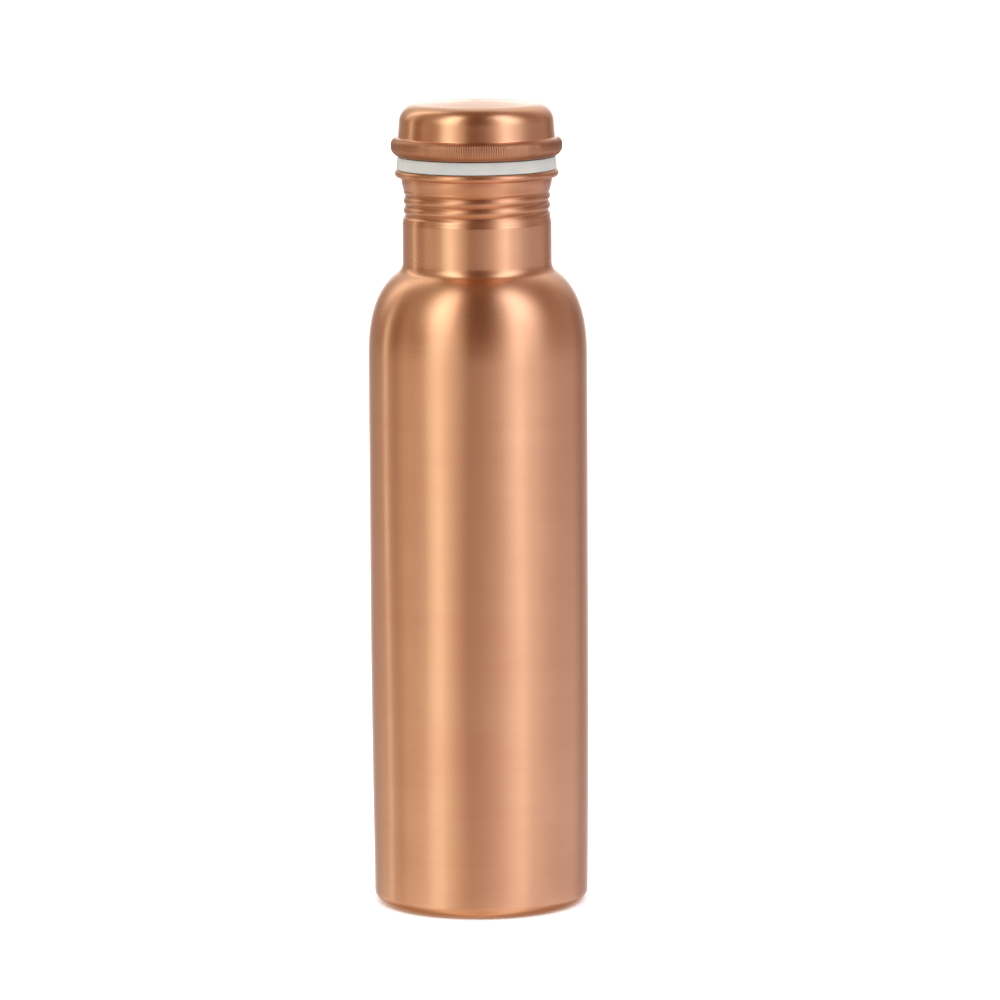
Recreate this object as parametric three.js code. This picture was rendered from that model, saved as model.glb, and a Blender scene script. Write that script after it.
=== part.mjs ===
// Copper water bottle with a screw cap.
// Millimetres, +Z up. The bottle stands on z = 0 and its axis is the Z axis.
//
// Four pieces: the drawn copper body, the silicone ring that lies on its lip, and the cap,
// which is a pressed copper shell hemmed round the flange of a threaded copper plug.
// The plug screws into the neck. Its thread and the neck's are one right-hand helix rolled
// into thin sheet, so each shows on both faces of its wall.

import * as THREE from 'three';

// ---- Driving dimensions -------------------------------------------------------------

// Bottle body
const BODY_RADIUS = 36;          // outside, at mid height
const MOUTH_HEIGHT = 243.6;      // top of the rolled lip
const BODY_WALL = 0.6;           // sheet thickness of the body
const BASE_EDGE_RADIUS = 4;      // rounding between base and side
const BASE_TAPER = 0.7;          // how much narrower the side is at the base
const BASE_TAPER_HEIGHT = 100;   // height at which the side reaches its full radius
const STANDING_RING_WIDTH = 9;   // flat ring that the bottle stands on
const DISH_DEPTH = 1.5;          // hollow under the base, inside the standing ring
const DISH_RUN = 4;              // width of the slope from the ring up to the dish

// Shoulder: a superellipse from the side up to the neck, then a fillet
const SHOULDER_HEIGHT = 32;      // height of the full superellipse quarter
const SHOULDER_POWER = 2.5;      // 2 would be an ellipse, more is squarer
const SHOULDER_POLE_INSET = 11;  // how far inside the neck the quarter would end
const SHOULDER_FILLET = 4;       // hollow fillet into the neck

// Neck and lip
const NECK_RADIUS = 24.5;        // outside, below the thread
const NECK_HEIGHT = 30.6;        // from the end of the shoulder fillet to the mouth
const BOWL_FLARE = 0.25;         // how much wider the neck is just under the lip
const LIP_OVERHANG = 2.4;        // how far the rolled lip stands out from the neck
const LIP_CURL = 1.3;            // radius of the curl's section
const LIP_FILLET = 0.3;          // height of the hollow under the curl

// Thread, common to neck and plug
const THREAD_PITCH = 3.2;
const THREAD_DEPTH = 0.6;        // from crest to groove
const CREST_INSET = 0.45;        // how far the neck's crests lie inside the plain neck
const NECK_THREAD_TOP = 6.6;     // below the mouth
const NECK_THREAD_LENGTH = 9.8;
const PLUG_THREAD_LENGTH = 9.6;
const THREAD_RUN_OUT = 1.4;      // height over which the thread fades at each end
const CREST_BELOW_TOP = 2.1;     // from the top of the neck's thread to its first crest, on +X

// Plug
const PLUG_WALL = 0.5;
const PLUG_DEPTH = 18.6;         // how far it reaches below the mouth
const PLUG_FLOOR_RADIUS = 1.6;   // rounding between its floor and its side
const FLANGE_FILLET = 1;         // hollow between its side and its flange

// Seal ring
const SEAL_THICKNESS = 4.1;
const SEAL_INSET = 0.6;          // how far its foot lies inside the lip's outside
const SEAL_DRAFT = 0.4;          // how much narrower it is at the top
const SEAL_EDGE = 0.3;           // rounding of its edges

// Cap shell
const CAP_WALL = 0.6;
const CAP_HEIGHT = 17.1;         // from the hem's underside to the crown's edge
const CROWN_RISE = 0.9;          // how much the crown is domed
const CROWN_EDGE_RADIUS = 6;     // rounding between crown and skirt
const SKIRT_DRAFT = 0.35;        // how much narrower the skirt is at the top
const GRIP_OVERHANG = 1.22;      // how far the grip bead stands out from the lip
const GRIP_PROUD = 2.37;         // how far it stands out from the foot of the skirt
const GRIP_HEIGHT = 6.1;         // from the hem's underside to the top of the bead
const GRIP_TOP_EDGE = 2.2;       // rounding of the bead's upper edge
const GRIP_FOOT_RADIUS = 3;      // rounding of the bead's lower edge
const FLARE_RADIUS = 0.5;        // hollow between skirt and bead

// Clearances
const SEAT_GAP = 0.1;            // between faces that rest on each other
const THREAD_GAP = 0.25;         // radial, between the plug's thread and the neck's
const SEAL_BORE_GAP = 0.3;       // radial, between the seal ring and the plug
const HEM_GAP = 1.7;             // radial, between the hem's inner edge and the plug

// Fineness
const SEGMENTS = 40;             // round the axis
const ROWS_PER_PITCH = 5;        // rows of points for each pitch of the thread

// ---- Levels and radii that follow from them -------------------------------------------

const NECK_FOOT_Z = MOUTH_HEIGHT - NECK_HEIGHT;
const NECK_CREST_RADIUS = NECK_RADIUS - CREST_INSET;
const LIP_RADIUS = NECK_RADIUS + LIP_OVERHANG;
const NECK_THREAD_TOP_Z = MOUTH_HEIGHT - NECK_THREAD_TOP;
const NECK_THREAD_FOOT_Z = NECK_THREAD_TOP_Z - NECK_THREAD_LENGTH;
const CREST_Z = NECK_THREAD_TOP_Z - CREST_BELOW_TOP;
const BOWL_TOP_Z = MOUTH_HEIGHT - 2 * LIP_CURL - LIP_FILLET;

const SEAL_FOOT_Z = MOUTH_HEIGHT + SEAT_GAP;
const SEAL_TOP_Z = SEAL_FOOT_Z + SEAL_THICKNESS;
const HEM_Z = SEAL_TOP_Z + SEAT_GAP;
const FLANGE_Z = HEM_Z + CAP_WALL + SEAT_GAP;
const GRIP_RADIUS = LIP_RADIUS + GRIP_OVERHANG;
const SKIRT_FOOT_RADIUS = GRIP_RADIUS - GRIP_PROUD;

const PLUG_CREST_RADIUS = NECK_CREST_RADIUS - BODY_WALL - THREAD_GAP;
const PLUG_RADIUS = PLUG_CREST_RADIUS - THREAD_DEPTH;
const PLUG_FLOOR_Z = MOUTH_HEIGHT - PLUG_DEPTH;
const PLUG_THREAD_FOOT_Z = PLUG_FLOOR_Z + PLUG_FLOOR_RADIUS;
const PLUG_THREAD_TOP_Z = PLUG_THREAD_FOOT_Z + PLUG_THREAD_LENGTH;

// ---- Profiles: points (radius, height) in the half plane beside the axis ---------------

const point = (radius, height) => new THREE.Vector2(radius, height);

// Points on a circle's arc, from one angle to another in degrees, both ends included.
function arc(centreRadius, centreHeight, radius, fromDegrees, toDegrees, steps) {
  return Array.from({ length: steps + 1 }, (_, i) => {
    const angle = THREE.MathUtils.degToRad(fromDegrees + (toDegrees - fromDegrees) * i / steps);
    return point(centreRadius + radius * Math.cos(angle), centreHeight + radius * Math.sin(angle));
  });
}

// Points at even heights, with the radius as a function of height, both ends included.
function rise(fromHeight, toHeight, steps, radiusAt) {
  return Array.from({ length: steps + 1 }, (_, i) => {
    const height = fromHeight + (toHeight - fromHeight) * i / steps;
    return point(radiusAt(height), height);
  });
}

// The other face of a sheet: each point of the path moved by the thickness, to the left of the
// way the path runs there. A point on the axis stays on it.
function otherFace(path, thickness) {
  return path.map((here, i) => {
    const before = path[Math.max(i - 1, 0)];
    const after = path[Math.min(i + 1, path.length - 1)];
    const arriving = here.clone().sub(before).normalize();
    const leaving = after.clone().sub(here).normalize();
    const along = arriving.add(leaving).normalize();
    if (here.x === 0) along.set(Math.sign(along.x), 0);
    return point(here.x - along.y * thickness, here.y + along.x * thickness);
  });
}

// Drops points that coincide with the one before them.
function withoutRepeats(path) {
  return path.filter((here, i) => i === 0 || here.distanceTo(path[i - 1]) > 0.02);
}

// ---- Solids ---------------------------------------------------------------------------

// The solid of revolution of a profile whose ends are both on the axis, or that closes.
function revolve(profile) {
  return new THREE.LatheGeometry(profile, SEGMENTS).rotateX(Math.PI / 2);
}

// The thread's wave at a height and angle: 1 on a crest, 0 at the bottom of a groove. One turn
// to the left, seen from above, climbs one pitch, which makes the thread right-handed.
function crestShare(height, angle) {
  const turns = (height - CREST_Z) / THREAD_PITCH - angle / (2 * Math.PI);
  return (1 + Math.cos(2 * Math.PI * turns)) / 2;
}

// How fully the thread is formed at a height between its two ends: 0 at an end, 1 past the run-out.
function formedShare(height, footZ, topZ) {
  const fromNearestEnd = Math.min(height - footZ, topZ - height);
  return THREE.MathUtils.smoothstep(fromNearestEnd / THREAD_RUN_OUT, 0, 1);
}

// Moves every vertex in or out by what the function gives for its height and angle.
function pressRadially(geometry, shiftAt) {
  const positions = geometry.getAttribute('position');
  for (let i = 0; i < positions.count; i += 1) {
    const x = positions.getX(i);
    const y = positions.getY(i);
    const radius = Math.hypot(x, y);
    if (radius < NECK_RADIUS / 2) continue;
    const shift = shiftAt(positions.getZ(i), Math.atan2(y, x));
    positions.setXY(i, x * (1 + shift / radius), y * (1 + shift / radius));
  }
  return geometry;
}

// Number of rows for a threaded stretch.
const threadRows = (length) => Math.ceil(length / THREAD_PITCH * ROWS_PER_PITCH);

// ---- Bottle body ------------------------------------------------------------------------

function sideRadius(height) {
  const below = Math.max(0, BASE_TAPER_HEIGHT - height) / BASE_TAPER_HEIGHT;
  return BODY_RADIUS - BASE_TAPER * below * below;
}

// The underside: dish, slope, standing ring and rounded edge.
function basePath() {
  const edgeCentre = sideRadius(BASE_EDGE_RADIUS) - BASE_EDGE_RADIUS;
  const ringInside = edgeCentre - STANDING_RING_WIDTH;
  return [
    point(0, DISH_DEPTH),
    point(ringInside - DISH_RUN, DISH_DEPTH),
    point(ringInside - DISH_RUN / 2, DISH_DEPTH / 2),
    point(ringInside, 0),
    ...arc(edgeCentre, BASE_EDGE_RADIUS, BASE_EDGE_RADIUS, -90, 0, 4),
  ];
}

// The shoulder and its fillet, ending on the neck at NECK_FOOT_Z.
function shoulderPath() {
  const steps = 200;
  const reach = BODY_RADIUS - (NECK_RADIUS - SHOULDER_POLE_INSET);
  const filletCentre = NECK_RADIUS + SHOULDER_FILLET;
  const quarter = Array.from({ length: steps }, (_, i) => {
    const angle = Math.PI / 2 * i / steps;
    const outward = Math.cos(angle) ** (2 / SHOULDER_POWER);
    const upward = Math.sin(angle) ** (2 / SHOULDER_POWER);
    return point(BODY_RADIUS - reach + reach * outward, SHOULDER_HEIGHT * upward);
  });
  // The fillet starts where its centre, out along the curve's normal, is over the neck's side.
  const normals = quarter.map((here, i) => {
    const next = quarter[Math.min(i + 1, steps - 1)];
    const before = quarter[Math.max(i - 1, 0)];
    const along = next.clone().sub(before).normalize();
    return point(along.y, -along.x);
  });
  const join = quarter.findIndex((here, i) => here.x + normals[i].x * SHOULDER_FILLET <= filletCentre);
  const centreHeight = quarter[join].y + normals[join].y * SHOULDER_FILLET;
  const lift = NECK_FOOT_Z - centreHeight;
  const joinAngle = THREE.MathUtils.radToDeg(Math.atan2(-normals[join].y, -normals[join].x));
  const rows = 9;
  const curve = Array.from({ length: rows }, (_, i) => {
    const here = quarter[Math.round(join * i / rows)];
    return point(here.x, here.y + lift);
  });
  const filletFrom = joinAngle > 0 ? joinAngle - 360 : joinAngle;
  return [...curve, ...arc(filletCentre, NECK_FOOT_Z, SHOULDER_FILLET, filletFrom, -180, 4)];
}

// The neck's outside before the thread is rolled in: it narrows to the crests, then bowls out.
function neckRadiusAt(height) {
  const toCrest = THREE.MathUtils.smoothstep(
    height, NECK_THREAD_FOOT_Z - THREAD_RUN_OUT, NECK_THREAD_FOOT_Z + THREAD_RUN_OUT);
  const overThread = (height - NECK_THREAD_TOP_Z) / (BOWL_TOP_Z - NECK_THREAD_TOP_Z);
  const bowl = Math.sin(Math.PI / 2 * THREE.MathUtils.clamp(overThread, 0, 1));
  return NECK_RADIUS + (NECK_CREST_RADIUS - NECK_RADIUS) * toCrest
    + (NECK_RADIUS + BOWL_FLARE - NECK_CREST_RADIUS) * bowl;
}

function neckPath() {
  const threadTop = NECK_THREAD_TOP_Z;
  return [
    ...rise(NECK_THREAD_FOOT_Z - THREAD_RUN_OUT, NECK_THREAD_FOOT_Z, 1, neckRadiusAt),
    ...rise(NECK_THREAD_FOOT_Z, threadTop, threadRows(NECK_THREAD_LENGTH), neckRadiusAt),
    ...rise(threadTop, BOWL_TOP_Z, 4, neckRadiusAt),
  ];
}

function bottleBody() {
  const shoulder = shoulderPath();
  const outside = withoutRepeats([
    ...basePath(),
    ...rise(BASE_EDGE_RADIUS, shoulder[0].y, 4, sideRadius),
    ...shoulder,
    ...neckPath(),
  ]);
  const inside = otherFace(outside, BODY_WALL).reverse();
  const curlCentre = LIP_RADIUS - LIP_CURL;
  const curl = arc(curlCentre, MOUTH_HEIGHT - LIP_CURL, LIP_CURL, -130, 150, 9);
  const profile = [...outside, ...curl, ...inside];
  return pressRadially(revolve(profile), (height, angle) => {
    const groove = 1 - crestShare(height, angle);
    return -THREAD_DEPTH * groove * formedShare(height, NECK_THREAD_FOOT_Z, NECK_THREAD_TOP_Z);
  });
}

// ---- Seal ring ----------------------------------------------------------------------------

function sealRing() {
  const bore = PLUG_RADIUS + SEAL_BORE_GAP;
  const footEdge = LIP_RADIUS - SEAL_INSET - SEAL_EDGE;
  const topEdge = footEdge - SEAL_DRAFT;
  return revolve([
    point(bore, SEAL_FOOT_Z),
    ...arc(footEdge, SEAL_FOOT_Z + SEAL_EDGE, SEAL_EDGE, -90, 0, 3),
    ...arc(topEdge, SEAL_TOP_Z - SEAL_EDGE, SEAL_EDGE, 0, 90, 3),
    point(bore, SEAL_TOP_Z),
    point(bore, SEAL_FOOT_Z),
  ]);
}

// ---- Cap shell ------------------------------------------------------------------------------

// The outside of the shell from the hem's inner edge up to the middle of the crown.
function capPath() {
  const crownEdgeZ = HEM_Z + CAP_HEIGHT;
  const crownEdge = SKIRT_FOOT_RADIUS - SKIRT_DRAFT - CROWN_EDGE_RADIUS;
  // The bead's upper rounding and the hollow above it are two circles that touch.
  const beadCentre = GRIP_RADIUS - GRIP_TOP_EDGE;
  const beadZ = HEM_Z + GRIP_HEIGHT - GRIP_TOP_EDGE;
  const flareCentre = SKIRT_FOOT_RADIUS + FLARE_RADIUS;
  const flareRise = Math.sqrt((GRIP_TOP_EDGE + FLARE_RADIUS) ** 2 - (flareCentre - beadCentre) ** 2);
  const touch = THREE.MathUtils.radToDeg(Math.atan2(flareRise, flareCentre - beadCentre));
  return [
    point(PLUG_RADIUS + HEM_GAP, HEM_Z),
    ...arc(GRIP_RADIUS - GRIP_FOOT_RADIUS, HEM_Z + GRIP_FOOT_RADIUS, GRIP_FOOT_RADIUS, -90, 0, 4),
    ...arc(beadCentre, beadZ, GRIP_TOP_EDGE, 0, touch, 4),
    ...arc(flareCentre, beadZ + flareRise, FLARE_RADIUS, touch - 180, -180, 3).slice(1),
    ...arc(crownEdge, crownEdgeZ - CROWN_EDGE_RADIUS, CROWN_EDGE_RADIUS, 0, 85, 5),
    point(crownEdge / 2, crownEdgeZ + CROWN_RISE * 0.75),
    point(0, crownEdgeZ + CROWN_RISE),
  ];
}

function capShell() {
  const outside = capPath();
  const inside = otherFace(outside, CAP_WALL).reverse();
  return revolve([...outside, ...inside, outside[0]]);
}

// ---- Threaded plug ----------------------------------------------------------------------------

// The outside of the plug from the middle of its floor up to the top of its rim.
function plugPath() {
  const floorEdge = PLUG_RADIUS - PLUG_FLOOR_RADIUS;
  const rimRound = GRIP_FOOT_RADIUS - CAP_WALL - SEAT_GAP;
  const rimCentre = GRIP_RADIUS - GRIP_FOOT_RADIUS;
  const rimTopZ = HEM_Z + GRIP_HEIGHT - GRIP_TOP_EDGE - CAP_WALL;
  return withoutRepeats([
    point(0, PLUG_FLOOR_Z),
    ...arc(floorEdge, PLUG_FLOOR_Z + PLUG_FLOOR_RADIUS, PLUG_FLOOR_RADIUS, -90, 0, 3),
    ...rise(PLUG_THREAD_FOOT_Z, PLUG_THREAD_TOP_Z, threadRows(PLUG_THREAD_LENGTH), () => PLUG_RADIUS),
    ...arc(PLUG_RADIUS + FLANGE_FILLET, FLANGE_Z - FLANGE_FILLET, FLANGE_FILLET, 180, 90, 3),
    ...arc(rimCentre, FLANGE_Z + rimRound, rimRound, -90, 0, 4),
    point(rimCentre + rimRound, rimTopZ),
  ]);
}

function threadedPlug() {
  const outside = plugPath();
  const inside = otherFace(outside, PLUG_WALL).reverse();
  return pressRadially(revolve([...outside, ...inside]), (height, angle) => {
    const ridge = crestShare(height, angle);
    return THREAD_DEPTH * ridge * formedShare(height, PLUG_THREAD_FOOT_Z, PLUG_THREAD_TOP_Z);
  });
}

// ---- The scene graph ----------------------------------------------------------------------------

const satinCopper = new THREE.MeshStandardMaterial({ color: 0xc98d66, roughness: 0.35, metalness: 1 });
const knurledCopper = new THREE.MeshStandardMaterial({ color: 0xb5754f, roughness: 0.4, metalness: 1 });
const silicone = new THREE.MeshStandardMaterial({ color: 0xd9dbd6, roughness: 0.6, metalness: 0 });

function named(name, geometry, material) {
  const mesh = new THREE.Mesh(geometry, material);
  mesh.name = name;
  return mesh;
}

const bottle = new THREE.Group();
bottle.add(named('bottle_body', bottleBody(), satinCopper));
bottle.add(named('seal_ring', sealRing(), silicone));

const cap = new THREE.Group();
cap.add(named('cap_shell', capShell(), knurledCopper));
cap.add(named('threaded_plug', threadedPlug(), satinCopper));
bottle.add(cap);

export default bottle;
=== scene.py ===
"""The looks of a copper water bottle with a screw cap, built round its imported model.

Every surface is a profile turned round the bottle's axis, worked out with numpy in millimetres
and put into the mesh in metres. The rolled thread and the knurled grip are real relief.
"""

import math

import bpy
import numpy as np
from mathutils import Matrix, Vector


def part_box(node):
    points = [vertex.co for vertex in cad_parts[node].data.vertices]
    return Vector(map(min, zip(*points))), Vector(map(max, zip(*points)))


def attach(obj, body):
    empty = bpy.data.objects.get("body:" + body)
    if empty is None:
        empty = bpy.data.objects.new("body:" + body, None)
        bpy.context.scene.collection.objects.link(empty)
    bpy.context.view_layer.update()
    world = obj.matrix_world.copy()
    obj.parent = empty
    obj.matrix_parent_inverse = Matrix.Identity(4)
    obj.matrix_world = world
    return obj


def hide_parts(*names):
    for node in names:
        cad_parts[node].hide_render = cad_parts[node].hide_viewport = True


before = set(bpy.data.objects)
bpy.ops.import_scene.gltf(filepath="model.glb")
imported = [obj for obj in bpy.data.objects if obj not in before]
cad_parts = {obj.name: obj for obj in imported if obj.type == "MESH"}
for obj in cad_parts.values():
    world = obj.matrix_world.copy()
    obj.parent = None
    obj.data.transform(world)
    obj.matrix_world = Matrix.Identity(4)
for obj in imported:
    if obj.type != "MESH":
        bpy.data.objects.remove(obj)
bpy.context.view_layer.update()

MM = 0.001


def box_mm(node):
    """Lowest and highest corner of a node of the frame, in millimetres."""
    low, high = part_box(node)
    return np.array(low) / MM, np.array(high) / MM


# ---- Sizes, in millimetres -----------------------------------------------------------------------

_, body_high = box_mm("bottle_body")
seal_low, seal_high = box_mm("seal_ring")
cap_low, cap_high = box_mm("cap_shell")
plug_low, plug_high = box_mm("threaded_plug")

BODY_RADIUS = body_high[0]
MOUTH_Z = body_high[2]
BODY_WALL = 0.6
BASE_EDGE = 4.0  # rounding between base and side
BASE_TAPER = 0.7  # how much narrower the side is at the base
BASE_TAPER_Z = 100.0  # height at which the side reaches its full radius
RING_WIDTH = 9.0  # flat ring that the bottle stands on
DISH_DEPTH = 1.5  # hollow under the base, inside the standing ring
DISH_RUN = 4.0  # width of the slope from the ring up to the dish

# Hand-finishing's waves on the side: (height, waves round, climb for one radian, start in radians).
SIDE_WAVES = [(0.05, 3, 47, 0), (0.04, 5, -37, 1), (0.025, 9, 29, 2)]
WAVE_FADE = 20.0  # height over which they fade at the base and below the neck

SHOULDER_HEIGHT = 32.0
SHOULDER_POWER = 2.5  # 2 would be an ellipse, more is squarer
SHOULDER_FILLET = 4.0  # hollow fillet into the neck
NECK_RADIUS = 24.5
POLE_RADIUS = NECK_RADIUS - 11.0  # where the shoulder's quarter would end
NECK_FOOT_Z = MOUTH_Z - 30.6

LIP_CURL = 1.3  # radius of the curl's section
LIP_RADIUS = NECK_RADIUS + 2.4
BOWL_RADIUS = NECK_RADIUS + 0.25
BOWL_TOP_Z = MOUTH_Z - 2 * LIP_CURL - 0.3

PITCH = 3.2
THREAD_DEPTH = 0.6  # from crest to groove
CREST_RADIUS = NECK_RADIUS - 0.45
THREAD_TOP_Z = MOUTH_Z - 6.6
THREAD_FOOT_Z = THREAD_TOP_Z - 9.8
RUN_OUT = 1.4  # height over which the thread fades at each end
CREST_Z = THREAD_TOP_Z - 2.1  # height of a crest on +X
THREAD_GAP = 0.25  # radial, between the plug's thread and the neck's
MOUTH_PAINTED_SHADE = 0.55  # painted shade from the thread up to the lip, standing for the shade under the lip's curl, as a share of a groove's tarnish

NOTCH_DEPTH = 0.05  # tool mark round the neck
NOTCH_WIDTH = 0.22
NOTCH_BELOW_THREAD = 0.4

PLUG_WALL = 0.5
PLUG_RADIUS = CREST_RADIUS - BODY_WALL - THREAD_GAP - THREAD_DEPTH
PLUG_FLOOR_Z = plug_low[2]
PLUG_FLOOR_EDGE = 1.6
PLUG_THREAD_FOOT_Z = PLUG_FLOOR_Z + PLUG_FLOOR_EDGE
PLUG_THREAD_TOP_Z = PLUG_THREAD_FOOT_Z + 9.6
FLANGE_FILLET = 1.0

SEAL_BORE = PLUG_RADIUS + 0.3
SEAL_BORE_EDGE = 0.15
SEAL_EDGE = 0.3
SEAL_DRAFT = 0.4  # how much narrower it is at the top

HEM_Z = cap_low[2]
GRIP_RADIUS = cap_high[0]
GRIP_TOP_Z = HEM_Z + 6.1
GRIP_TOP_EDGE = 2.2
GRIP_FOOT_EDGE = 3.0
FLARE_RADIUS = 0.5  # hollow between skirt and bead
SKIRT_FOOT_RADIUS = GRIP_RADIUS - 2.37
SKIRT_TOP_RADIUS = SKIRT_FOOT_RADIUS - 0.35
CAP_WALL = 0.6
CROWN_EDGE_Z = HEM_Z + 17.1
CROWN_EDGE = 6.0  # rounding between crown and skirt
CROWN_TOP_Z = cap_high[2]
HEM_INSIDE = PLUG_RADIUS + 1.7
SEAT_GAP = 0.1  # between faces that rest on each other

KNURL_TEETH = 224
KNURL_DEPTH = 0.15
TOOTH_POWER = 0.7  # 1 would be a plain sine, less is blunter
KNURL_ABOVE_HEM = 0.2  # where it starts
KNURL_OVER_TOP = 0.05  # where it ends, above the bead's top
KNURL_FOOT_FADE = 0.6
KNURL_TOP_FADE = 0.25
KNURL_INNER_RADIUS = SKIRT_FOOT_RADIUS - 0.2  # there is none inside this radius
VALLEY_TARNISH = 0.95
TOOTH_POLISH = 0.25  # how much less tarnish there is on top of a tooth
UNDER_BEAD = 2.4  # painted shade on the bead's lower rounding and underside reaches this far up from the hem
UNDER_BEAD_FADE = 1.4

# How finely the meshes are divided.
BODY_SEGMENTS = 256
SEAL_SEGMENTS = 192
PLUG_SEGMENTS = 224
POINTS_A_TOOTH = 4  # of the knurl, round the cap
SIDE_STEPS = 32
SHOULDER_STEPS = 50
SHOULDER_SAMPLES = 40001  # points tried along the shoulder's curve
NECK_THREAD_STEPS = 102
PLUG_THREAD_STEPS = 64
BODY_INSIDE_STRIDE = 3  # the body's inside takes every third point of its outside
CAP_INSIDE_STRIDE = 2

SAME_POINT = 1e-3  # points closer than this are one
ON_AXIS = 1e-6  # a radius below this is on the axis
TINY = 1e-9


# ---- Profiles: arrays of (radius, height) --------------------------------------------------------


def arc(centre, radius, start, end, steps):
    """Points of a circle from one angle to the other, in degrees: centre + radius (cos a, sin a)."""
    a = np.radians(np.linspace(start, end, steps + 1))
    return np.column_stack([centre[0] + radius * np.cos(a), centre[1] + radius * np.sin(a)])


def climb(z_from, z_to, steps, radius_at):
    """Points at even heights z, with the radius a function of z."""
    z = np.linspace(z_from, z_to, steps + 1)
    return np.column_stack([radius_at(z), z])


def line(start, end, steps):
    """Points at even steps on the straight line from start to end."""
    t = np.linspace(0, 1, steps + 1)[:, None]
    return np.array(start) * (1 - t) + np.array(end) * t


def joined(*parts):
    """The parts one after the other, without points that repeat the one before."""
    path = np.vstack(parts)
    step = np.hypot(*np.diff(path, axis=0).T)
    return path[np.concatenate([[True], step > SAME_POINT])]


def smoothstep(t):
    """3 t^2 - 2 t^3, with t held between 0 and 1."""
    t = np.clip(t, 0, 1)
    return t * t * (3 - 2 * t)


def other_face(path, thickness):
    """The sheet's other face: each point moved by the thickness to the left of the path."""
    ahead = np.vstack([path[1:], path[-1:]]) - path
    behind = path - np.vstack([path[:1], path[:-1]])
    along = ahead / np.maximum(np.hypot(*ahead.T), TINY)[:, None]
    along += behind / np.maximum(np.hypot(*behind.T), TINY)[:, None]
    along /= np.hypot(*along.T)[:, None]
    moved = path + thickness * np.column_stack([-along[:, 1], along[:, 0]])
    moved[path[:, 0] < ON_AXIS, 0] = 0.0
    return moved


# ---- Meshes --------------------------------------------------------------------------------------


def enclosed_area(profile):
    """The area that the closed profile holds, by the shoelace formula: below 0 if it runs clockwise."""
    r, z = profile.T
    return np.sum(r * np.roll(z, -1) - np.roll(r, -1) * z) / 2


def turned(name, profile, segments, shift=None, layers=None):
    """The profile (r, z) turned round the axis: the point at angle t is (r' cos t, r' sin t, z),
    with r' = r + shift(t, row). A profile whose ends are on the axis gets one point at each,
    and any other profile closes on itself. The faces point outward whichever way the profile
    runs. layers are named arrays, one value a point."""
    t = np.arange(segments)[:, None] * (2 * np.pi / segments)
    closed = profile[0, 0] > ON_AXIS
    rows = profile if closed else profile[1:-1]
    count = len(rows)
    r = np.broadcast_to(rows[:, 0], (segments, count))
    z = np.broadcast_to(rows[:, 1], (segments, count))
    if shift is not None:
        r = r + shift(t, rows)
    points = np.stack([r * np.cos(t), r * np.sin(t), z], axis=-1).reshape(-1, 3)

    i = np.arange(segments)[:, None]
    following = (i + 1) % segments
    j = np.arange(count if closed else count - 1)[None, :]
    above = (j + 1) % count
    quads = np.stack([i * count + j, following * count + j,
                      following * count + above, i * count + above], axis=-1).reshape(-1, 4)
    faces = quads.tolist()
    if not closed:
        first, last = len(points), len(points) + 1
        ends = [[0, 0, profile[0, 1]], [0, 0, profile[-1, 1]]]
        points = np.vstack([points, ends])
        i = i[:, 0]
        following = following[:, 0]
        faces += np.stack([np.full(segments, first), following * count, i * count],
                          axis=-1).tolist()
        faces += np.stack([np.full(segments, last), i * count + count - 1,
                           following * count + count - 1], axis=-1).tolist()

    if enclosed_area(profile) < 0:
        faces = [face[::-1] for face in faces]

    mesh = bpy.data.meshes.new(name)
    mesh.from_pydata((points * MM).tolist(), [], faces)
    mesh.polygons.foreach_set("use_smooth", np.ones(len(faces), bool))
    for layer, values_of in (layers or {}).items():
        values = np.broadcast_to(values_of(t, rows), (segments, count)).reshape(-1)
        if not closed:
            values = np.concatenate([values, [values[0], values[count - 1]]])
        attribute = mesh.attributes.new(layer, "FLOAT", "POINT")
        attribute.data.foreach_set("value", values.astype(np.float32))
    mesh.validate()
    piece = bpy.data.objects.new(name, mesh)
    bpy.context.scene.collection.objects.link(piece)
    return piece


def inside_from(first):
    """The layer that is 1 from the profile's first inside point on, and 0 before. The rows leave
    out the profile's own first point, on the axis."""
    return lambda t, rows: (np.arange(len(rows)) + 1 >= first).astype(float)


# ---- The rolled thread ---------------------------------------------------------------------------


def crest_share(t, z):
    """The thread's wave: 1 on a crest, 0 in a groove, climbing one pitch a turn, right-handed.
    Rolling leaves broad round crests and narrow grooves, so it is 1 - ((1 - cos) / 2)^1.5."""
    turns = (z - CREST_Z) / PITCH - t / (2 * np.pi)
    return 1 - ((1 - np.cos(2 * np.pi * turns)) / 2) ** 1.5


def formed_share(z, foot, top):
    """How fully the thread is formed at a height: 0 at either end, 1 past the run-out."""
    return smoothstep(np.minimum(z - foot, top - z) / RUN_OUT)


def groove_share(t, z, foot, top):
    """How deep in a groove a point lies: 1 at the bottom of one where the thread is full."""
    return (1 - crest_share(t, z)) * formed_share(z, foot, top)


# ---- Bottle body ---------------------------------------------------------------------------------


def side_radius(z):
    """The side's radius: full from the taper's height up, and narrower by a square law below."""
    below = np.maximum(0, BASE_TAPER_Z - z) / BASE_TAPER_Z
    return BODY_RADIUS - BASE_TAPER * below**2


def base_path():
    """The underside: a flat dish, a cosine slope down to the standing ring, and the rounded edge."""
    edge = side_radius(BASE_EDGE) - BASE_EDGE
    ring = edge - RING_WIDTH
    t = np.linspace(0, 1, 13)
    slope = np.column_stack([ring - DISH_RUN * (1 - t), DISH_DEPTH * (1 + np.cos(np.pi * t)) / 2])
    return joined(line((0, DISH_DEPTH), (ring - DISH_RUN, DISH_DEPTH), 8), slope,
                  line((ring, 0), (edge, 0), 3), arc((edge, BASE_EDGE), BASE_EDGE, -90, 0, 14))


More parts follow.
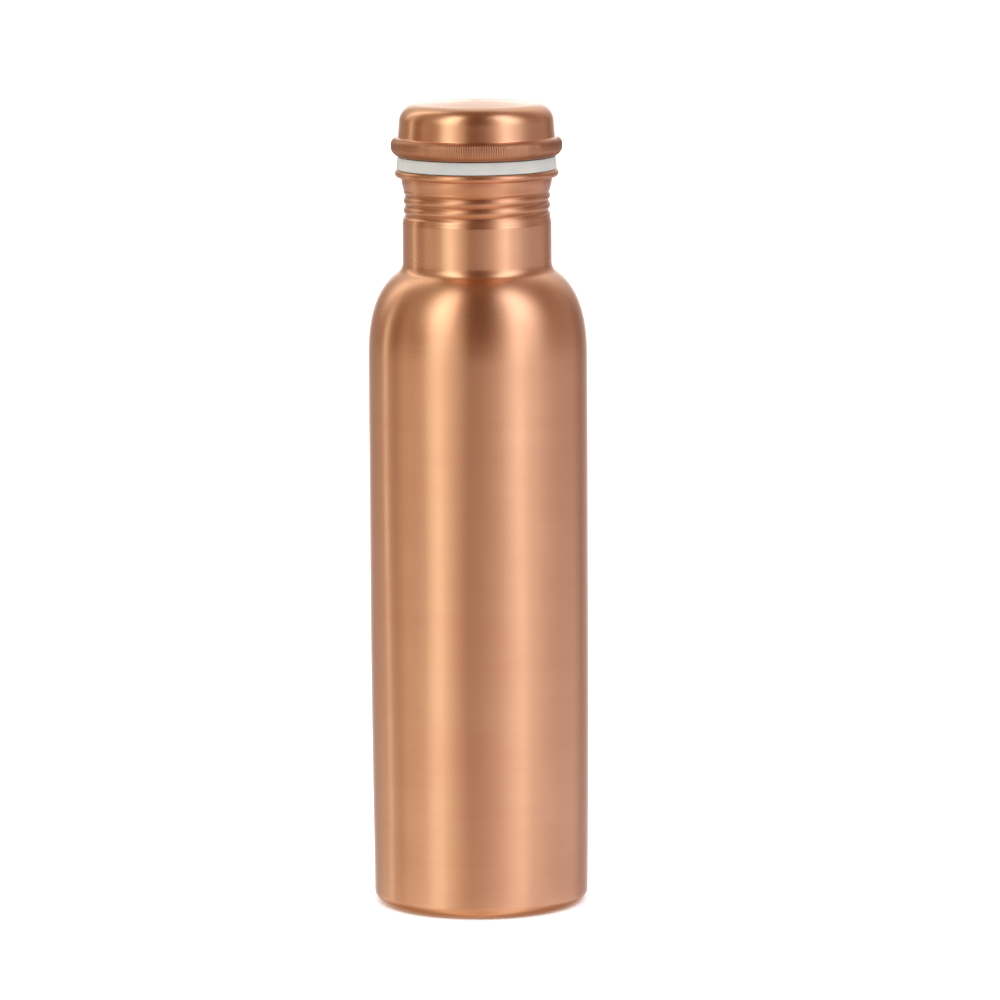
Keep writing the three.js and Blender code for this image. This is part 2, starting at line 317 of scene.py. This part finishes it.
def shoulder_path():
    """The shoulder: r = pole + reach cos^(2/n) a, z = height sin^(2/n) a, up to where a circle of
    the fillet's radius touches both it and the neck, and then that circle."""
    a = np.linspace(0, np.pi / 2, SHOULDER_SAMPLES)[1:-1]
    reach, k = BODY_RADIUS - POLE_RADIUS, 2 / SHOULDER_POWER
    curve = np.column_stack([POLE_RADIUS + reach * np.cos(a) ** k,
                             SHOULDER_HEIGHT * np.sin(a) ** k])
    along = np.column_stack([-reach * np.cos(a) ** (k - 1) * np.sin(a),
                             SHOULDER_HEIGHT * np.sin(a) ** (k - 1) * np.cos(a)])
    along /= np.hypot(*along.T)[:, None]
    outward = np.column_stack([along[:, 1], -along[:, 0]])
    fillet_r = NECK_RADIUS + SHOULDER_FILLET
    join = np.argmax(curve[:, 0] + SHOULDER_FILLET * outward[:, 0] <= fillet_r)
    lift = NECK_FOOT_Z - curve[join, 1] - SHOULDER_FILLET * outward[join, 1]
    start = math.degrees(math.atan2(-outward[join, 1], -outward[join, 0]))
    length = np.concatenate([[0], np.cumsum(np.hypot(*np.diff(curve[:join + 1], axis=0).T))])
    even = np.searchsorted(length, np.linspace(0, length[-1], SHOULDER_STEPS + 1))
    fillet = arc((fillet_r, NECK_FOOT_Z), SHOULDER_FILLET,
                 start - 360 if start > 0 else start, -180, 16)
    return joined(curve[np.minimum(even, join)] + (0, lift), fillet[1:])


def neck_radius(z):
    """The neck before the thread: it narrows to the crests by a smoothstep, and bowls out under
    the lip by a quarter of a sine. The tool mark is a notch shaped as exp(-x^2)."""
    to_crest = smoothstep((z - THREAD_FOOT_Z + RUN_OUT) / (2 * RUN_OUT))
    bowl = np.sin(np.pi / 2 * np.clip((z - THREAD_TOP_Z) / (BOWL_TOP_Z - THREAD_TOP_Z), 0, 1))
    notch = NOTCH_DEPTH * np.exp(-(((z - THREAD_FOOT_Z + NOTCH_BELOW_THREAD) / NOTCH_WIDTH) ** 2))
    narrowed = NECK_RADIUS + (CREST_RADIUS - NECK_RADIUS) * to_crest
    return narrowed + (BOWL_RADIUS - CREST_RADIUS) * bowl - notch


def bottle_body():
    """The drawn body, outside up to the lip's curl and then inside down again."""
    shoulder = shoulder_path()
    plain_top_z = THREAD_FOOT_Z - 2 * RUN_OUT
    outside = joined(base_path(), climb(BASE_EDGE, shoulder[0, 1], SIDE_STEPS, side_radius),
                     shoulder, climb(NECK_FOOT_Z, plain_top_z, 8, neck_radius),
                     climb(plain_top_z, BOWL_TOP_Z, NECK_THREAD_STEPS, neck_radius))
    curl = arc((LIP_RADIUS - LIP_CURL, MOUTH_Z - LIP_CURL), LIP_CURL, -130, 150, 20)
    kept = np.r_[len(outside) - 1:0:-BODY_INSIDE_STRIDE, 0]
    inside = other_face(outside, BODY_WALL)[kept]
    profile = np.vstack([outside, curl, inside])
    turn_in = len(outside) + len(curl)

    def pressed(t, rows):
        """The thread's grooves, and the side's waves, each height sin(n t + z / climb + start)."""
        z = rows[:, 1]
        on_side = smoothstep(z / WAVE_FADE) * smoothstep((NECK_FOOT_Z - z) / WAVE_FADE)
        waves = sum(height * np.sin(number * t + z / rise + start)
                    for height, number, rise, start in SIDE_WAVES)
        groove = groove_share(t, z, THREAD_FOOT_Z, THREAD_TOP_Z)
        return waves * on_side - THREAD_DEPTH * groove

    def groove_layer(t, rows):
        """Tarnish gathers in the grooves, and painted shade, weaker than a groove's tarnish, covers
        everything from the thread up to the lip.
        """
        z = rows[:, 1]
        # painted shade: the shade under the lip's curl, spread as an even darkening from the thread up to
        # the lip
        painted_mouth_shade = MOUTH_PAINTED_SHADE * smoothstep((z - THREAD_FOOT_Z) / RUN_OUT)
        return np.maximum(groove_share(t, z, THREAD_FOOT_Z, THREAD_TOP_Z), painted_mouth_shade)

    return turned("drawn_body", profile, BODY_SEGMENTS, pressed,
                  {"groove": groove_layer, "inside": inside_from(turn_in)})


# ---- Seal ring -----------------------------------------------------------------------------------


def seal_ring():
    """The moulded ring: flat faces, a slightly conical outside and small rounded edges."""
    foot = seal_high[0] - SEAL_EDGE
    top = foot - SEAL_DRAFT
    bore = SEAL_BORE + SEAL_BORE_EDGE
    low, high = seal_low[2], seal_high[2]
    profile = np.vstack([
        line((bore, low), (foot, low), 5)[:-1],
        arc((foot, low + SEAL_EDGE), SEAL_EDGE, -90, 0, 6),
        line((foot + SEAL_EDGE, low + SEAL_EDGE), (top + SEAL_EDGE, high - SEAL_EDGE), 8)[1:-1],
        arc((top, high - SEAL_EDGE), SEAL_EDGE, 0, 90, 6),
        line((top, high), (bore, high), 5)[1:-1],
        arc((bore, high - SEAL_BORE_EDGE), SEAL_BORE_EDGE, 90, 180, 3),
        arc((bore, low + SEAL_BORE_EDGE), SEAL_BORE_EDGE, 180, 270, 3)[:-1],
    ])
    return turned("silicone_ring", profile, SEAL_SEGMENTS)


# ---- Cap shell -----------------------------------------------------------------------------------


def cap_shell():
    """The pressed shell, from the middle of the crown down the outside to the hem and back up
    inside. The crown is a parabola, 1 - (r / edge)^2."""
    crown_edge = SKIRT_TOP_RADIUS - CROWN_EDGE
    bead = (GRIP_RADIUS - GRIP_TOP_EDGE, GRIP_TOP_Z - GRIP_TOP_EDGE)
    flare_r = SKIRT_FOOT_RADIUS + FLARE_RADIUS
    flare_rise = math.sqrt((GRIP_TOP_EDGE + FLARE_RADIUS) ** 2 - (flare_r - bead[0]) ** 2)
    touch = math.degrees(math.atan2(flare_rise, flare_r - bead[0]))
    r = np.linspace(crown_edge, 0, 12)
    rise = CROWN_TOP_Z - CROWN_EDGE_Z
    crown = np.column_stack([r, CROWN_EDGE_Z + rise * (1 - (r / crown_edge) ** 2)])
    outside = joined(
        line((HEM_INSIDE, HEM_Z), (GRIP_RADIUS - GRIP_FOOT_EDGE, HEM_Z), 2),
        arc((GRIP_RADIUS - GRIP_FOOT_EDGE, HEM_Z + GRIP_FOOT_EDGE), GRIP_FOOT_EDGE, -90, 0, 12),
        line((GRIP_RADIUS, HEM_Z + GRIP_FOOT_EDGE), (GRIP_RADIUS, bead[1]), 3),
        arc(bead, GRIP_TOP_EDGE, 0, touch, 14),
        arc((flare_r, bead[1] + flare_rise), FLARE_RADIUS, touch - 180, -180, 6),
        arc((crown_edge, CROWN_EDGE_Z - CROWN_EDGE), CROWN_EDGE, 0, 88, 14),
        crown,
    )
    kept = np.r_[0:len(outside) - 1:CAP_INSIDE_STRIDE, len(outside) - 1]
    profile = np.vstack([outside[::-1], other_face(outside, CAP_WALL)[kept]])
    outer_count = len(outside)

    def grip_share(rows):
        """1 on the outside of the bead, fading over its rounded edges, and 0 elsewhere."""
        r, z = rows.T
        share = (smoothstep((z - HEM_Z - KNURL_ABOVE_HEM) / KNURL_FOOT_FADE)
                 * smoothstep((GRIP_TOP_Z + KNURL_OVER_TOP - z) / KNURL_TOP_FADE))
        outer = np.arange(len(rows)) + 1 < outer_count
        return share * outer * (r > KNURL_INNER_RADIUS)

    def tooth(t):
        """A tooth's height from 0 to 1: a power of half a sine wave, made a little uneven by
        0.82 + 0.18 sin(7 t + 1) sin(31 t)."""
        uneven = 0.82 + 0.18 * np.sin(7 * t + 1) * np.sin(31 * t)
        return np.abs(np.sin(KNURL_TEETH / 2 * t)) ** TOOTH_POWER * uneven

    def knurled(t, rows):
        return (tooth(t) - 1) * KNURL_DEPTH * grip_share(rows)

    def bead_tarnish_and_shade_layer(t, rows):
        """Tarnish between the teeth, and painted shade on the bead's lower rounding and underside, darkest
        at the hem.
        """
        outer = np.arange(len(rows)) + 1 < outer_count
        # painted shade: the bead's lower rounding and underside take the tarnish colour, fully up to 1 mm
        # above the hem
        under = smoothstep((HEM_Z + UNDER_BEAD - rows[:, 1]) / UNDER_BEAD_FADE) * outer
        return np.maximum((VALLEY_TARNISH - TOOTH_POLISH * tooth(t)) * grip_share(rows), under)

    return turned("pressed_cap", profile, KNURL_TEETH * POINTS_A_TOOTH, knurled,
                  {"groove": bead_tarnish_and_shade_layer, "inside": inside_from(outer_count)})


# ---- Threaded plug -------------------------------------------------------------------------------


def threaded_plug():
    """The drawn cup with its ridges, and the flange and rim that the cap's hem grips."""
    rim_round = GRIP_FOOT_EDGE - CAP_WALL - SEAT_GAP
    rim_centre = GRIP_RADIUS - GRIP_FOOT_EDGE
    flange_z = HEM_Z + CAP_WALL + SEAT_GAP
    rim_radius = rim_centre + rim_round
    floor_edge = PLUG_RADIUS - PLUG_FLOOR_EDGE
    outside = joined(
        line((0, PLUG_FLOOR_Z), (floor_edge, PLUG_FLOOR_Z), 8),
        arc((floor_edge, PLUG_FLOOR_Z + PLUG_FLOOR_EDGE), PLUG_FLOOR_EDGE, -90, 0, 8),
        climb(PLUG_THREAD_FOOT_Z, PLUG_THREAD_TOP_Z, PLUG_THREAD_STEPS,
              lambda z: np.full_like(z, PLUG_RADIUS)),
        line((PLUG_RADIUS, PLUG_THREAD_TOP_Z), (PLUG_RADIUS, flange_z - FLANGE_FILLET), 8),
        arc((PLUG_RADIUS + FLANGE_FILLET, flange_z - FLANGE_FILLET), FLANGE_FILLET, 180, 90, 6),
        arc((rim_centre, flange_z + rim_round), rim_round, -90, 0, 8),
        line((rim_radius, flange_z + rim_round), (rim_radius, plug_high[2]), 2),
    )
    profile = np.vstack([outside, other_face(outside, PLUG_WALL)[::-1]])

    def ridged(t, rows):
        z = rows[:, 1]
        formed = formed_share(z, PLUG_THREAD_FOOT_Z, PLUG_THREAD_TOP_Z)
        return THREAD_DEPTH * crest_share(t, z) * formed

    def groove_layer(t, rows):
        return groove_share(t, rows[:, 1], PLUG_THREAD_FOOT_Z, PLUG_THREAD_TOP_Z)

    return turned("plug_cup", profile, PLUG_SEGMENTS, ridged,
                  {"groove": groove_layer, "inside": inside_from(len(outside))})


# ---- Materials -----------------------------------------------------------------------------------


# Brush marks as (length round the axis, width), in millimetres.
FINE_MARKS = (26, 0.45)
BROAD_MARKS = (60, 4.0)


def linear(hex_colour):
    """An sRGB hex colour as linear red, green, blue and alpha."""
    srgb = [int(hex_colour[k:k + 2], 16) / 255 for k in (1, 3, 5)]
    return [c / 12.92 if c <= 0.04045 else ((c + 0.055) / 1.055) ** 2.4 for c in srgb] + [1.0]


def add(tree, kind, links=None, values=None, **settings):
    """Adds a node of that kind with its settings, socket values and links into its sockets."""
    node = tree.nodes.new(kind)
    for key, value in settings.items():
        setattr(node, key, value)
    for socket, value in (values or {}).items():
        node.inputs[socket].default_value = value
    for socket, source in (links or {}).items():
        tree.links.new(source, node.inputs[socket])
    return node


def new_material(name):
    """An empty material with its output node: (material, tree, output)."""
    material = bpy.data.materials.new(name)
    material.use_nodes = True
    tree = material.node_tree
    tree.nodes.clear()
    return material, tree, add(tree, "ShaderNodeOutputMaterial")


def math_node(tree, operation, links, values=None):
    """A maths node's result."""
    return add(tree, "ShaderNodeMath", links, values, operation=operation).outputs[0]


def noise(tree, vector, scale, detail, **values):
    """A noise texture's value at the vector."""
    values.update(Scale=scale, Detail=detail)
    return add(tree, "ShaderNodeTexNoise", {"Vector": vector}, values).outputs["Fac"]


def brush_coordinates(tree, length, width):
    """Coordinates for marks that run round the axis: x and y in units of the marks' length, and
    z - radius, which grows all the way from the base's edge to the crown, in units of their width."""
    place = add(tree, "ShaderNodeTexCoord").outputs["Object"]
    x, y, z = add(tree, "ShaderNodeSeparateXYZ", {0: place}).outputs
    flat = add(tree, "ShaderNodeCombineXYZ", {0: x, 1: y}).outputs[0]
    radius = add(tree, "ShaderNodeVectorMath", {0: flat}, operation="LENGTH").outputs["Value"]
    along = math_node(tree, "SUBTRACT", {0: z, 1: radius})
    marks = add(tree, "ShaderNodeCombineXYZ", {0: x, 1: y, 2: along}).outputs[0]
    scale = (1 / (length * MM), 1 / (length * MM), 1 / (width * MM))
    return add(tree, "ShaderNodeVectorMath", {0: marks}, {1: scale}, operation="MULTIPLY").outputs[0]


def mixed(tree, factor, first, second):
    """A colour mix node's result; first and second are sockets or colours."""
    node = add(tree, "ShaderNodeMix", data_type="RGBA")
    for socket, value in ((0, factor), (6, first), (7, second)):
        if isinstance(value, bpy.types.NodeSocket):
            tree.links.new(value, node.inputs[socket])
        else:
            node.inputs[socket].default_value = value
    return node.outputs[2]


def ranged(tree, source, low, high, to_low, to_high):
    """The source's range low..high mapped to to_low..to_high, held at the ends."""
    return add(tree, "ShaderNodeMapRange", {0: source},
               {1: low, 2: high, 3: to_low, 4: to_high}).outputs[0]


def brushed_copper(name, bright, worn, patina_and_shade, roughness, anisotropy):
    """Copper sheet, brushed round the axis and lacquered thinly. The brushing draws each reflection
    out along the bottle, so lights show as soft upright bands with a fine grain across them."""
    material, tree, output = new_material(name)
    fine = noise(tree, brush_coordinates(tree, *FINE_MARKS), 1.0, 3.0, Roughness=0.6)
    broad = noise(tree, brush_coordinates(tree, *BROAD_MARKS), 1.0, 2.0)
    cloud = noise(tree, add(tree, "ShaderNodeTexCoord").outputs["Object"], 38.0, 4.0)
    # The groove layer holds tarnish in the hollows and painted shade round the bottle's mouth and under
    # the cap's bead.
    groove = add(tree, "ShaderNodeAttribute", attribute_name="groove").outputs["Fac"]
    inside = add(tree, "ShaderNodeAttribute", attribute_name="inside").outputs["Fac"]

    # Worn in clouds and in broad marks, tarnished in the grooves and on the inside, and darkened with
    # painted shade where the groove layer carries it: round the bottle's mouth and on the cap's bead.
    colour = mixed(tree, ranged(tree, cloud, 0.35, 0.7, 0.0, 0.5), linear(bright), linear(worn))
    colour = mixed(tree, ranged(tree, broad, 0.4, 0.75, 0.0, 0.35), colour, linear(worn))
    colour = mixed(tree, ranged(tree, groove, 0.25, 1.0, 0.0, 0.62), colour, linear(patina_and_shade))
    colour = mixed(tree, ranged(tree, inside, 0.0, 1.0, 0.0, 0.6), colour, linear(patina_and_shade))

    # Roughness varies with the grain and the clouds, and grows with the tarnish and the painted shade.
    grain = ranged(tree, fine, 0.3, 0.7, roughness - 0.01, roughness + 0.014)
    clouded = ranged(tree, cloud, 0.3, 0.7, -0.02, 0.03)
    rough = math_node(tree, "ADD", {0: grain, 1: clouded})
    rough = math_node(tree, "MULTIPLY_ADD", {0: groove, 2: rough}, {1: 0.13})
    rough = math_node(tree, "MULTIPLY_ADD", {0: inside, 2: rough}, {1: 0.12})

    bump = add(tree, "ShaderNodeBump", {"Height": fine}, {"Strength": 0.008, "Distance": 0.00005})
    tangent = add(tree, "ShaderNodeTangent", direction_type="RADIAL", axis="Z")
    shader = add(tree, "ShaderNodeBsdfPrincipled",
                 {"Base Color": colour, "Roughness": rough, "Normal": bump.outputs[0],
                  "Tangent": tangent.outputs[0]},
                 {"Metallic": 1.0, "Anisotropic": anisotropy, "Anisotropic Rotation": 0.25})
    tree.links.new(shader.outputs[0], output.inputs[0])
    return material


def moulded_silicone():
    """Food-grade silicone rubber, moulded: soft white, faintly see-through, with a dull skin."""
    material, tree, output = new_material("moulded_silicone")
    place = add(tree, "ShaderNodeTexCoord").outputs["Object"]
    cloud = noise(tree, place, 120.0, 3.0)
    skin = noise(tree, place, 2500.0, 2.0)
    cloudy = ranged(tree, cloud, 0.35, 0.65, 0.0, 1.0)
    colour = mixed(tree, cloudy, linear("#A2A5A1"), linear("#ADADA7"))
    rough = ranged(tree, cloud, 0.3, 0.7, 0.42, 0.55)
    bump = add(tree, "ShaderNodeBump", {"Height": skin}, {"Strength": 0.15, "Distance": 0.00004})
    shader = add(tree, "ShaderNodeBsdfPrincipled",
                 {"Base Color": colour, "Roughness": rough, "Normal": bump.outputs[0]},
                 {"IOR": 1.41, "Subsurface Weight": 0.25,
                  "Subsurface Radius": (0.002, 0.002, 0.0018), "Subsurface Scale": 1.0})
    tree.links.new(shader.outputs[0], output.inputs[0])
    return material


# ---- Stage: floor, light and camera --------------------------------------------------------------


def pale_floor():
    """A plain pale floor. Metal doesn't mirror it, so that the studio's light shapes the metal."""
    half = 30.0
    corners = [(-half, -half, 0), (half, -half, 0), (half, half, 0), (-half, half, 0)]
    mesh = bpy.data.meshes.new("floor")
    mesh.from_pydata(corners, [], [(0, 1, 2, 3)])
    floor = bpy.data.objects.new("floor", mesh)
    bpy.context.scene.collection.objects.link(floor)
    material, tree, output = new_material("matt_white_floor")
    shader = add(tree, "ShaderNodeBsdfDiffuse", values={"Color": linear("#F7F7F7")})
    tree.links.new(shader.outputs[0], output.inputs[0])
    mesh.materials.append(material)
    floor.visible_glossy = False


# The studio's light as the metal mirrors it, by compass angle in degrees from the camera's side,
# positive to the right: (angle, brightness, warmth). Warmth 1 is the brown of a dim room.
# Just above the horizon: two soft boxes, a dark gap between them and a thin strip on the left.
LEVEL_LIGHT = [(-180, 1.35, -0.3), (-168, 1.0, 0.0), (-157, 0.40, 0.4), (-128, 0.33, 1.1),
               (-119, 0.36, 1.0), (-113, 1.0, 0.1), (-107, 0.36, 1.0), (-97, 0.22, 1.8), (-83, 0.45, 1.0),
               (-70, 0.35, 1.3), (-59, 0.38, 1.1), (-50, 0.90, 0.1), (-42, 1.30, 0.0), (-32, 0.94, 0.2),
               (-21, 0.60, 0.5), (-11, 0.20, 1.6), (2, 0.18, 1.6), (14, 0.28, 1.2), (25, 0.52, 0.8),
               (36, 1.02, 0.1), (45, 1.36, 0.0), (54, 1.00, 0.1), (66, 0.74, 0.3), (77, 0.46, 0.7),
               (92, 0.36, 0.9), (120, 0.36, 0.8), (137, 0.26, 1.2), (157, 0.44, 0.3), (168, 1.0, 0.0),
               (180, 1.35, -0.3)]
# High up, where the soft boxes lean over the bottle.
HIGH_LIGHT = [(-180, 0.9, -0.2), (-156, 0.6, 0.3), (-142, 0.8, 0.3), (-132, 1.9, 0.0), (-122, 0.7, 0.5),
              (-110, 0.34, 1.0), (-84, 0.42, 0.9), (-72, 0.52, 0.6), (-60, 1.15, 0.1), (-48, 2.1, 0.0),
              (-36, 1.75, 0.1), (-24, 0.50, 0.9), (-12, 0.18, 1.6), (6, 0.16, 1.6), (20, 0.26, 1.2),
              (33, 0.70, 0.4), (46, 1.7, 0.0), (60, 1.9, 0.0), (74, 1.0, 0.2), (88, 0.38, 1.1),
              (112, 0.30, 1.2), (132, 0.50, 0.8), (146, 0.85, 0.3), (180, 0.9, -0.2)]
# Below the horizon, the table round the bottle.
TABLE_LIGHT = [(-180, 0.9, 0.0), (-150, 0.55, 0.3), (-128, 0.90, 0.2), (-112, 0.85, 0.2), (-97, 0.92, 0.3),
               (-70, 1.15, 0.0), (-54, 1.30, 0.0), (-36, 0.64, 0.3), (-22, 0.58, 0.5), (-4, 0.88, 0.3),
               (14, 1.08, 0.2), (28, 1.05, 0.0), (42, 0.70, 0.2), (58, 0.62, 0.3), (80, 1.02, 0.0),
               (118, 0.95, 0.1), (137, 0.62, 0.4), (152, 0.62, 0.3), (180, 0.9, 0.0)]
# Lower still, the table in the bottle's own shade and glow.
FOOT_LIGHT = [(-180, 0.6, 0.8), (-128, 0.42, 1.2), (-97, 0.40, 1.2), (-70, 0.62, 0.9), (-50, 0.84, 0.7),
              (-22, 0.74, 0.9), (0, 0.66, 1.0), (25, 0.82, 0.7), (45, 1.08, 0.5), (62, 0.76, 0.8),
              (90, 0.42, 1.2), (118, 0.38, 1.3), (150, 0.42, 1.1), (180, 0.6, 0.8)]
# Straight up, where the room is dark.
OVERHEAD_LIGHT = (0.22, 0.13, 0.09, 1)
WHITE = (1.0, 1.0, 1.0, 1)

# The direction's height, from -1 to 1, over which each light gives way to the next.
HIGH_BAND = (0.10, 0.55)
OVERHEAD_BAND = (0.84, 0.95)
TABLE_BAND = (-0.12, -0.28)
FOOT_BAND = (-0.32, -0.55)

# Each light's blue: 1 is as its warmth says, and more is rosier.
LEVEL_ROSE = 1.02
HIGH_ROSE = 1.05
TABLE_ROSE = 1.12
FOOT_ROSE = 0.95
ROSE_SWING = 0.09  # by how much blue falls on the left and grows on the right
BROWN_GREEN = 0.28  # how much green and blue brown lacks
BROWN_BLUE = 0.40


def light_ramp(tree, position, light, rose):
    """A colour ramp over the compass, with each stop's grey warmed towards brown. The room is
    golden on the left and rosy on the right: blue swings with the angle's sine, round rose."""
    ramp = add(tree, "ShaderNodeValToRGB", {0: position})
    stops = ramp.color_ramp.elements
    while len(stops) < len(light):
        stops.new(0.5)
    for stop, (angle, level, warmth) in zip(stops, light):
        stop.position = angle / 360 + 0.5
        green = 1 - BROWN_GREEN * warmth
        blue = (1 - BROWN_BLUE * warmth) * (rose + ROSE_SWING * math.sin(math.radians(angle)))
        stop.color = (level, level * green, level * blue, 1)
    return ramp.outputs[0]


def studio_world():
    """White behind everything for the camera, and for the metal a studio of soft boxes."""
    world = bpy.data.worlds.new("studio")
    world.use_nodes = True
    bpy.context.scene.world = world
    tree = world.node_tree
    tree.nodes.clear()
    direction = add(tree, "ShaderNodeTexCoord").outputs["Generated"]
    x, y, height = add(tree, "ShaderNodeSeparateXYZ", {0: direction}).outputs
    front = math_node(tree, "MULTIPLY", {0: y}, {1: -1.0})
    angle = math_node(tree, "ARCTAN2", {0: x, 1: front})
    position = ranged(tree, angle, -math.pi, math.pi, 0.0, 1.0)
    studio = light_ramp(tree, position, LEVEL_LIGHT, LEVEL_ROSE)
    for light, band in ((light_ramp(tree, position, HIGH_LIGHT, HIGH_ROSE), HIGH_BAND),
                        (OVERHEAD_LIGHT, OVERHEAD_BAND),
                        (light_ramp(tree, position, TABLE_LIGHT, TABLE_ROSE), TABLE_BAND),
                        (light_ramp(tree, position, FOOT_LIGHT, FOOT_ROSE), FOOT_BAND)):
        studio = mixed(tree, ranged(tree, height, *band, 0.0, 1.0), studio, light)
    to_camera = add(tree, "ShaderNodeLightPath").outputs["Is Camera Ray"]
    seen = mixed(tree, to_camera, studio, WHITE)
    background = add(tree, "ShaderNodeBackground", {0: seen})
    output = add(tree, "ShaderNodeOutputWorld")
    tree.links.new(background.outputs[0], output.inputs[0])


def overhead_lamp():
    """An even, very soft lamp overhead that whitens the floor and the seal."""
    lamp = bpy.data.lights.new("overhead", "SUN")
    lamp.angle = math.radians(150)
    lamp.energy = 4.2
    overhead = bpy.data.objects.new("overhead", lamp)
    overhead.visible_glossy = False
    bpy.context.scene.collection.objects.link(overhead)


def camera():
    """A long lens two metres in front of the bottle and a little above it, looking down at it and
    rolled a third of a degree."""
    lens = bpy.data.cameras.new("camera")
    lens.sensor_width = 36.0
    lens.lens = 220.8
    lens.clip_end = 100.0
    eye = bpy.data.objects.new("camera", lens)
    eye.location = (0, -2.0, 0.4328)
    pitch, yaw, roll = math.radians(8.5), math.radians(-0.2), math.radians(-0.35)
    turn = (Matrix.Rotation(yaw, 3, "Z") @ Matrix.Rotation(math.pi / 2 - pitch, 3, "X")
            @ Matrix.Rotation(roll, 3, "Z"))
    eye.rotation_euler = turn.to_euler()
    bpy.context.scene.collection.objects.link(eye)
    bpy.context.scene.camera = eye


# ---- The bottle ----------------------------------------------------------------------------------

camera()
studio_world()
overhead_lamp()
pale_floor()

# Drawn copper sheet, brushed satin by hand.
body_copper = brushed_copper("brushed_copper", bright="#F5BF94", worn="#F0B38C", patina_and_shade="#B06A46",
                             roughness=0.25, anisotropy=0.82)
# Copper finished on a lathe: the cap, a little smoother and darker where it tarnishes.
cap_copper = brushed_copper("turned_copper", bright="#F5BF94", worn="#EFB08A", patina_and_shade="#8A482F",
                            roughness=0.24, anisotropy=0.75)
silicone = moulded_silicone()

PIECES = [
    (bottle_body(), body_copper, "bottle", "bottle_body", "satin_copper"),
    (seal_ring(), silicone, "seal", "seal_ring", "white_silicone"),
    (cap_shell(), cap_copper, "cap", "cap_shell", "cap_copper"),
    (threaded_plug(), body_copper, "cap", "threaded_plug", "satin_copper"),
]
for piece, material, body, node, slot in PIECES:
    piece.data.materials.append(material)
    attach(piece, body)
    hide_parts(node)

bpy.context.scene.view_settings.view_transform = "Standard"
